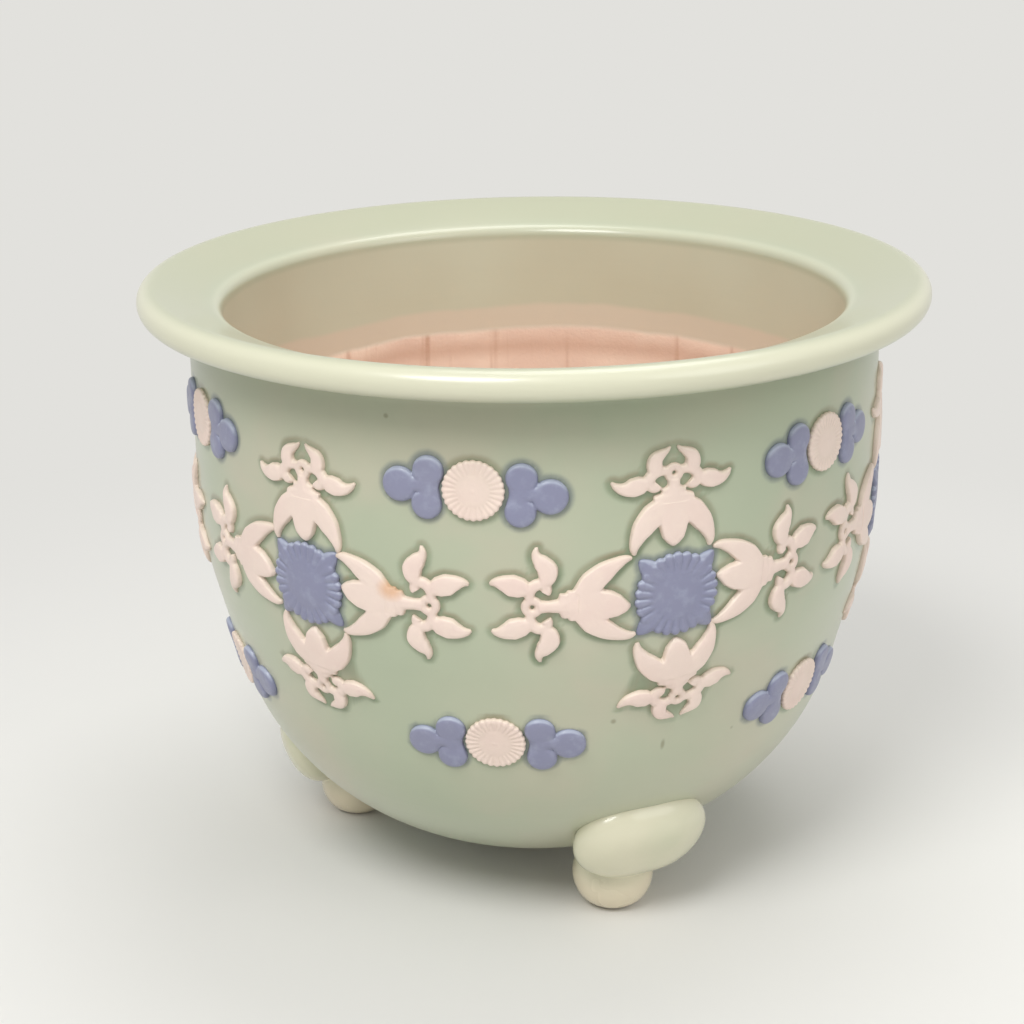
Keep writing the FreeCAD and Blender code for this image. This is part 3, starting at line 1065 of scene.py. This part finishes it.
def mark_nearness(vessel):
    """Measure how far, in millimetres, the outer wall lies from the white and the blue sprigs."""
    places = coordinates(vessel)
    inside = np.empty(len(places))
    vessel.data.attributes["inside"].data.foreach_get("value", inside)
    beside = np.flatnonzero((inside == 0) & (places[:, 2] > 0.08) & (places[:, 2] < 0.29))
    for name in ("white", "blue"):
        sprigs = [
            piece
            for piece in bpy.data.objects
            if piece.name.endswith("_sprig") and piece.active_material.name == name + "_sprigs"
        ]
        points = np.concatenate([coordinates(piece)[::3] for piece in sprigs])
        tree = KDTree(len(points))
        for index, point in enumerate(points):
            tree.insert(point, index)
        tree.balance()
        away = np.full(len(places), 20.0)
        over = np.zeros(len(places))
        for index in beside:
            point, _, distance = tree.find(places[index])
            away[index] = distance / MM
            over[index] = (places[index, 2] - point[2]) / MM
        point_values(vessel, "off_" + name, away)
        point_values(vessel, "over_" + name, np.clip(over / 3, -1, 1))


class JARDINIERE_OT_medallions(bpy.types.Operator):
    """Mould a floret and its four sprays, and seat them round the belly"""

    bl_idname = "jardiniere.medallions"
    bl_label = "Medallions"

    def execute(self, context):
        sizes = context.scene.sprig_sizes
        first = math.pi / sizes.bays
        height = sizes.medallion_height
        blue = blue_slip()
        white = white_slip()
        floret = draw_floret()
        long_spray = draw_long_spray()
        short_spray = draw_short_spray()
        set_round(floret, "medallion_%d_floret", first, blue, height)
        for name, drawing, degrees in (
            ("left", long_spray, 90),
            ("right", long_spray, -90),
            ("up", short_spray, 0),
            ("down", short_spray, 180),
        ):
            stem = "medallion_%d_spray_" + name
            turn = math.radians(degrees)
            set_round(drawing, stem, first, white, height, turn, sizes.spray_middle)
        for drawing in (floret, long_spray, short_spray):
            bpy.data.objects.remove(drawing)
        return {"FINISHED"}


class JARDINIERE_OT_cartouches(bpy.types.Operator):
    """Mould the roundels and their trefoil scrolls, and seat both rows"""

    bl_idname = "jardiniere.cartouches"
    bl_label = "Cartouches"

    def execute(self, context):
        sizes = context.scene.sprig_sizes
        blue = bpy.data.materials["blue_sprigs"]
        white = bpy.data.materials["white_sprigs"]
        roundel = draw_roundel()
        pair = joined([draw_trefoil(-1), draw_trefoil(1)], "scrolls")
        rows = {
            "upper": sizes.medallion_height + sizes.upper_rise,
            "lower": sizes.medallion_height - sizes.lower_drop,
        }
        for row, height in rows.items():
            set_round(roundel, row + "_roundel_%d", 0.0, white, height)
            set_round(pair, row + "_scrolls_%d", 0.0, blue, height)
        bpy.data.objects.remove(roundel)
        bpy.data.objects.remove(pair)
        return {"FINISHED"}


class JARDINIERE_OT_stage(bpy.types.Operator):
    """Set the floor, the lamps and the camera"""

    bl_idname = "jardiniere.stage"
    bl_label = "Stage"

    def execute(self, context):
        settings = context.scene.stage_settings
        deselect()
        bpy.ops.mesh.primitive_plane_add(size=30, location=(0, 0, 0))
        ground = bpy.context.active_object
        ground.name = "ground"
        ground.data.materials.append(floor_finish(settings.backdrop))
        light_world(settings.backdrop)
        for lamp in LAMPS:
            add_lamp(*lamp)
        ahead = Vector(settings.ahead).normalized()
        above = Vector(settings.above).normalized()
        right = ahead.cross(above).normalized()
        above = right.cross(ahead)
        camera = bpy.data.cameras.new("camera")
        camera.sensor_width = 36
        camera.sensor_fit = "HORIZONTAL"
        camera.lens = settings.lens
        eye = bpy.data.objects.new("camera", camera)
        turn = Matrix((right, above, -ahead)).transposed().to_4x4()
        eye.matrix_world = Matrix.Translation(Vector(settings.eye)) @ turn
        context.scene.collection.objects.link(eye)
        context.scene.camera = eye
        context.scene.view_settings.view_transform = "Standard"
        return {"FINISHED"}


def add_lamp(name, place, size, power):
    lamp = bpy.data.lights.new(name, "AREA")
    lamp.shape = "DISK"
    lamp.size = size
    lamp.energy = power
    holder = bpy.data.objects.new(name, lamp)
    holder.location = place
    holder.rotation_euler = (Vector((0, 0, 0.15)) - Vector(place)).to_track_quat("-Z", "Y").to_euler()
    bpy.context.scene.collection.objects.link(holder)


def seen_directly(tree):
    """1 for what the camera sees straight, in a mirror or through glass."""
    path = tree.nodes.new("ShaderNodeLightPath")
    seen = Socket(tree, path.outputs["Is Camera Ray"])
    for name in ("Is Glossy Ray", "Is Transmission Ray"):
        seen = seen.math("MAXIMUM", Socket(tree, path.outputs[name]))
    return seen


def floor_finish(tone):
    """Matt floor near the pot, and the backdrop's own colour further off."""
    floor = Glaze("floor_finish")
    floor.set(base_color=(*tone, 1), roughness=0.9, specular_ior_level=0.1)
    backdrop = floor.node("ShaderNodeEmission", inputs={"Color": (*tone, 1)})
    away = floor.node("ShaderNodeVectorMath", {"operation": "LENGTH"}, {0: floor.place})
    share = Socket(floor.tree, away.outputs["Value"]).step(0.30, 0.75) * seen_directly(floor.tree)
    blend = floor.node("ShaderNodeMixShader", inputs={0: share})
    links = floor.tree.links
    links.new(floor.surface.outputs[0], blend.inputs[1])
    links.new(backdrop.outputs[0], blend.inputs[2])
    links.new(blend.outputs[0], floor.tree.nodes["Material Output"].inputs["Surface"])
    return floor.material


def light_world(tone):
    world = bpy.data.worlds.new("studio")
    bpy.context.scene.world = world
    world.use_nodes = True
    tree = world.node_tree
    tree.nodes.clear()
    ambient = tree.nodes.new("ShaderNodeBackground")
    ambient.inputs["Color"].default_value = (1, 1, 1, 1)
    ambient.inputs["Strength"].default_value = AMBIENT
    backdrop = tree.nodes.new("ShaderNodeBackground")
    backdrop.inputs["Color"].default_value = (*tone, 1)
    blend = tree.nodes.new("ShaderNodeMixShader")
    output = tree.nodes.new("ShaderNodeOutputWorld")
    tree.links.new(seen_directly(tree).output, blend.inputs[0])
    tree.links.new(ambient.outputs[0], blend.inputs[1])
    tree.links.new(backdrop.outputs[0], blend.inputs[2])
    tree.links.new(blend.outputs[0], output.inputs["Surface"])


class JARDINIERE_PT_panel(bpy.types.Panel):
    """Lists the steps that dress the jardiniere"""

    bl_idname = "JARDINIERE_PT_panel"
    bl_label = "Jardiniere"
    bl_space_type = "VIEW_3D"
    bl_region_type = "UI"
    bl_category = "Jardiniere"

    def draw(self, context):
        layout = self.layout
        for operator in OPERATORS:
            layout.operator(operator.bl_idname)
        for group in GROUPS:
            box = layout.box()
            settings = getattr(context.scene, GROUPS[group])
            for name in group.__annotations__:
                box.prop(settings, name)


OPERATORS = (
    JARDINIERE_OT_feet,
    JARDINIERE_OT_medallions,
    JARDINIERE_OT_cartouches,
    JARDINIERE_OT_vessel,
    JARDINIERE_OT_stage,
)
GROUPS = {
    VesselSizes: "vessel_sizes",
    FootSizes: "foot_sizes",
    SprigSizes: "sprig_sizes",
    Colours: "jardiniere_colours",
    StageSettings: "stage_settings",
}


def register():
    for item in (*GROUPS, *OPERATORS, JARDINIERE_PT_panel):
        bpy.utils.register_class(item)
    for group, name in GROUPS.items():
        setattr(bpy.types.Scene, name, PointerProperty(type=group))


def unregister():
    for name in GROUPS.values():
        delattr(bpy.types.Scene, name)
    for item in reversed((*GROUPS, *OPERATORS, JARDINIERE_PT_panel)):
        bpy.utils.unregister_class(item)


def main():
    register()
    bpy.ops.jardiniere.feet()
    bpy.ops.jardiniere.medallions()
    bpy.ops.jardiniere.cartouches()
    bpy.ops.jardiniere.vessel()
    bpy.ops.jardiniere.stage()


if __name__ == "__main__":
    main()
